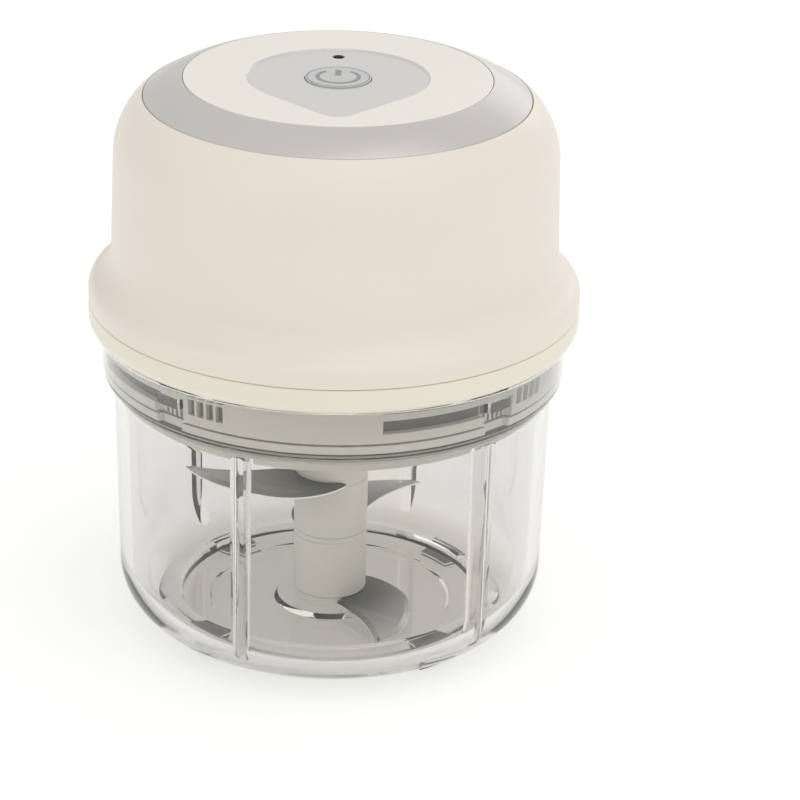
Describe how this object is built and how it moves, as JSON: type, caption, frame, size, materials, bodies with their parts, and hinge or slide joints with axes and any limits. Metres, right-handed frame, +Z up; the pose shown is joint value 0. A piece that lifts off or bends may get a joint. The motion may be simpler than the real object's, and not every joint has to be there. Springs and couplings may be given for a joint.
{
  "type": "food processor",
  "caption": "Small cordless food chopper: clear round cup with three stacked crescent blades under a cream dome-shaped motor head with one power button.",
  "frame": {"origin": "centre of the footprint, on the table plane under the feet", "axes": "+Z up along the blade and motor axis, the front of the object faces -Y, the charging socket faces +Y, +X to the right from the front"},
  "size_m": [0.085, 0.085, 0.0998],
  "materials": {
    "clear_cup": "clear moulded copolyester, polished",
    "cream_casing": "cream ABS, satin gloss",
    "silver_trim": "pale silver satin coat",
    "cream_plate": "pale cream ABS, gloss",
    "grey_plastic": "warm light grey ABS, satin",
    "blade_steel": "ground and polished stainless steel",
    "steel_pin": "ground steel",
    "screw_steel": "zinc plated steel",
    "silicone": "soft pale silicone",
    "black_rubber": "black rubber",
    "gear_plastic": "natural acetal",
    "motor_steel": "nickel plated steel can",
    "motor_plastic": "black nylon",
    "lamination": "stacked steel laminations",
    "magnet": "sintered ferrite",
    "copper": "enamelled copper wire and copper bars",
    "bronze": "sintered bronze",
    "carbon": "pressed carbon",
    "circuit_board": "green solder mask on glass epoxy",
    "cell_wrap": "shrink wrapped steel can, set to a real cell's weight",
    "clear_lens": "clear light pipe"
  },
  "bodies": {
    "cup": {"cup": "clear_cup", "pivot_pin": "steel_pin", "rubber_feet": "black_rubber"},
    "blade_unit": {"blade_spindle": "grey_plastic", "lower_blade": "blade_steel", "middle_blade": "blade_steel", "upper_blade": "blade_steel", "lower_sleeve": "grey_plastic", "upper_sleeve": "grey_plastic", "drive_boss": "grey_plastic"},
    "lid": {"inner_lid": "grey_plastic", "lid_seal": "silicone"},
    "button": {"power_button": "cream_plate"},
    "port_cover": {"port_cover": "silicone"},
    "interlock": {"interlock_pin": "gear_plastic"},
    "carrier": {"planet_carrier": "gear_plastic", "planet_pins": "steel_pin"},
    "planet_1": {"planet_gear_1": "gear_plastic"},
    "planet_2": {"planet_gear_2": "gear_plastic"},
    "planet_3": {"planet_gear_3": "gear_plastic"},
    "rotor": {"sun_gear": "gear_plastic", "motor_shaft": "steel_pin", "armature_stack": "lamination", "armature_windings": "copper", "commutator": "copper"},
    "head": {"base_cover": "grey_plastic", "shaft_seal": "silicone", "casing_screws": "screw_steel", "lower_ring": "cream_casing", "upper_casing": "cream_casing", "bezel_ring": "silver_trim", "top_plate": "cream_plate", "board_screws": "screw_steel", "lamp_pipe": "clear_lens", "status_led": "clear_lens", "control_board": "circuit_board", "button_switch": "motor_plastic", "battery_cell_right": "cell_wrap", "battery_cell_left": "cell_wrap", "cell_holder_right": "motor_plastic", "cell_holder_left": "motor_plastic", "charge_socket": "motor_steel", "charge_board": "circuit_board", "interlock_switch": "motor_plastic", "ring_gear": "gear_plastic", "motor_plate": "motor_steel", "motor_screws": "screw_steel", "motor_can": "motor_steel", "motor_end_cap": "motor_plastic", "motor_bushes": "bronze", "motor_magnets": "magnet", "motor_brushes": "carbon"}
  },
  "joints": [
    {"name": "head_lift", "type": "slide", "parent": "cup", "child": "lid", "axis": [0, 0, 1], "range_m": [0, 0.07]},
    {"name": "head_twist", "type": "hinge", "parent": "lid", "child": "head", "pos_m": [0, 0, 0.05], "axis": [0, 0, 1], "range_deg": [0, 28]},
    {"name": "rotor_spin", "type": "hinge", "parent": "head", "child": "rotor", "pos_m": [0, 0, 0.06], "axis": [0, 0, 1], "continuous": true},
    {"name": "carrier_spin", "type": "hinge", "parent": "head", "child": "carrier", "pos_m": [0, 0, 0.055], "axis": [0, 0, 1], "continuous": true},
    {"name": "blade_spin", "type": "hinge", "parent": "cup", "child": "blade_unit", "pos_m": [0, 0, 0.02], "axis": [0, 0, 1], "continuous": true},
    {"name": "button_press", "type": "slide", "parent": "head", "child": "button", "axis": [0, 0, -1], "range_m": [0, 0.0008], "stiffness_N_per_m": 500},
    {"name": "port_cover_swing", "type": "hinge", "parent": "head", "child": "port_cover", "pos_m": [0, 0.03755, 0.078], "axis": [1, 0, 0], "range_deg": [0, 95], "stiffness_Nm_per_rad": 0.0003},
    {"name": "interlock_press", "type": "slide", "parent": "head", "child": "interlock", "axis": [0, 0, 1], "range_m": [0, 0.00102], "stiffness_N_per_m": 60},
    {"name": "planet_1_spin", "type": "hinge", "parent": "carrier", "child": "planet_1", "pos_m": [0.0075, 0, 0.058], "axis": [0, 0, 1], "continuous": true},
    {"name": "planet_2_spin", "type": "hinge", "parent": "carrier", "child": "planet_2", "pos_m": [-0.00375, 0.0065, 0.058], "axis": [0, 0, 1], "continuous": true},
    {"name": "planet_3_spin", "type": "hinge", "parent": "carrier", "child": "planet_3", "pos_m": [-0.00375, -0.0065, 0.058], "axis": [0, 0, 1], "continuous": true}
  ],
  "couplings": [
    {"joint": "carrier_spin", "follows": "rotor_spin", "ratio": 0.2},
    {"joint": "blade_spin", "follows": "rotor_spin", "ratio": 0.2},
    {"joint": "interlock_press", "follows": "head_twist", "m_per_rad": 0.0020463},
    {"joint": "planet_1_spin", "follows": "rotor_spin", "ratio": -0.53333},
    {"joint": "planet_2_spin", "follows": "rotor_spin", "ratio": -0.53333},
    {"joint": "planet_3_spin", "follows": "rotor_spin", "ratio": -0.53333}
  ]
}
